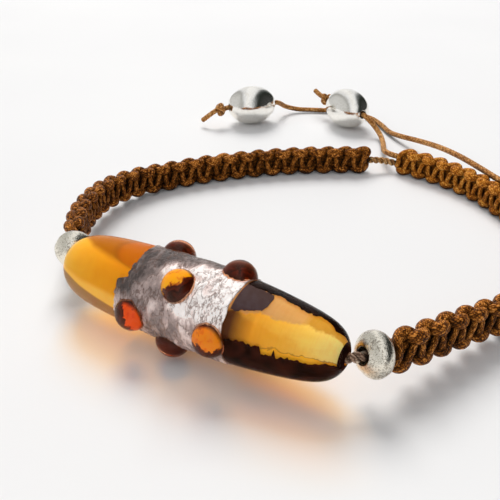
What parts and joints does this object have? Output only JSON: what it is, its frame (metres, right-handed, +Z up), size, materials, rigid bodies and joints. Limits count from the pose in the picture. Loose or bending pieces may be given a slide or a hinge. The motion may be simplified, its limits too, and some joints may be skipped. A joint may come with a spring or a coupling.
{
  "type": "macrame bracelet",
  "caption": "Adjustable macrame bracelet: knotted cord bands, a long amber glass bead wrapped in silver leaf between round silver beads, and a sliding knot closure with beaded tails.",
  "frame": {"origin": "middle of the wrist opening, on the surface that the bracelet lies on", "axes": "+X along the glass bead to its right end, +Y from the glass bead to the sliding closure, +Z up, out of the loop's plane"},
  "size_m": [0.075, 0.0895, 0.0118],
  "materials": {
    "amber_glass": "clear honey-amber lampwork glass, glossy",
    "silver_leaf": "wrinkled silver leaf under a clear gloss coat",
    "dot_glass": "dark amber glass, glossy",
    "silver": "worn bright silver, lightly tarnished",
    "polished_silver": "polished silver",
    "knotted_cord": "golden-brown waxed braided cord in square knots",
    "core_cord": "greyish-brown two-ply waxed cord",
    "tail_cord": "light golden-brown waxed cord"
  },
  "bodies": {
    "root": {"glass_bead": "amber_glass", "silver_leaf": "silver_leaf", "glass_dot_1": "dot_glass", "glass_dot_2": "dot_glass", "glass_dot_3": "dot_glass", "glass_dot_4": "dot_glass", "glass_dot_5": "dot_glass", "glass_dot_6": "dot_glass", "glass_dot_7": "dot_glass", "glass_dot_8": "dot_glass", "glass_dot_9": "dot_glass", "spacer_left": "silver", "spacer_right": "silver", "core_front": "core_cord", "core_left": "core_cord", "core_right": "core_cord", "band_left": "knotted_cord", "band_right": "knotted_cord", "slide_knot": "knotted_cord", "tail_a": "tail_cord", "tail_b": "tail_cord", "oval_bead_a": "polished_silver", "oval_bead_b": "polished_silver", "end_knot_a": "tail_cord", "end_knot_b": "tail_cord"}
  },
  "joints": []
}
